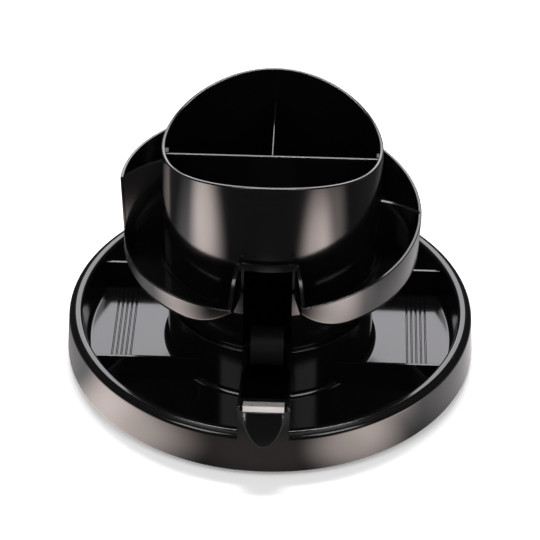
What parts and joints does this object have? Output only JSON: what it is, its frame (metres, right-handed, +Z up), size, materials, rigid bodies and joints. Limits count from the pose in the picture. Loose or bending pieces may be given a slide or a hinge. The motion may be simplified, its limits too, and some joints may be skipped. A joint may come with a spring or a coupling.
{
  "type": "rotating desk organizer",
  "caption": "Round rotating desk organizer: divided base tray with a tape dispenser, a middle tray with a climbing rim and a divided pen cup on top.",
  "frame": {"origin": "on the desk, under the middle of the round base", "axes": "+Z up along the spin axis, -Y towards the tape cutter at the front, +X to the right seen from the front"},
  "size_m": [0.25, 0.25, 0.163],
  "materials": {
    "black_gloss": "polished black",
    "divider_gloss": "polished black",
    "hub_gloss": "polished black",
    "blade_steel": "bright rolled steel",
    "foot_black": "fine texture",
    "pad_rubber": "matt",
    "race_steel": "zinc plated",
    "ball_steel": "polished",
    "cage_plastic": "natural nylon",
    "sleeve_plastic": "natural acetal",
    "screw_steel": "zinc plated"
  },
  "bodies": {
    "foot": {"foot_plate": "foot_black", "rubber_pads": "pad_rubber", "lower_race": "race_steel", "pivot_sleeve": "sleeve_plastic", "pivot_washer": "screw_steel", "pivot_screw": "screw_steel"},
    "cage": {"ball_cage": "cage_plastic", "bearing_balls": "ball_steel"},
    "organizer": {"base_floor": "black_gloss", "base_rim": "black_gloss", "pivot_boss": "black_gloss", "base_partitions": "black_gloss", "drum_ring": "black_gloss", "tape_housing": "black_gloss", "mid_tray": "black_gloss", "pen_cup": "black_gloss", "main_divider": "divider_gloss", "cross_divider": "divider_gloss", "cutter_blade": "blade_steel", "upper_race": "race_steel", "tower_screws": "screw_steel"},
    "tape_hub": {"tape_hub_left": "hub_gloss", "tape_hub_right": "hub_gloss"}
  },
  "joints": [
    {"name": "turntable_spin", "type": "hinge", "parent": "foot", "child": "organizer", "pos_m": [0, 0, 0], "axis": [0, 0, 1], "continuous": true},
    {"name": "cage_spin", "type": "hinge", "parent": "foot", "child": "cage", "pos_m": [0, 0, 0], "axis": [0, 0, 1], "continuous": true},
    {"name": "tape_hub_spin", "type": "hinge", "parent": "organizer", "child": "tape_hub", "pos_m": [0, -0.0565, 0.0435], "axis": [1, 0, 0], "continuous": true}
  ],
  "couplings": [
    {"joint": "cage_spin", "follows": "turntable_spin", "ratio": 0.5}
  ]
}
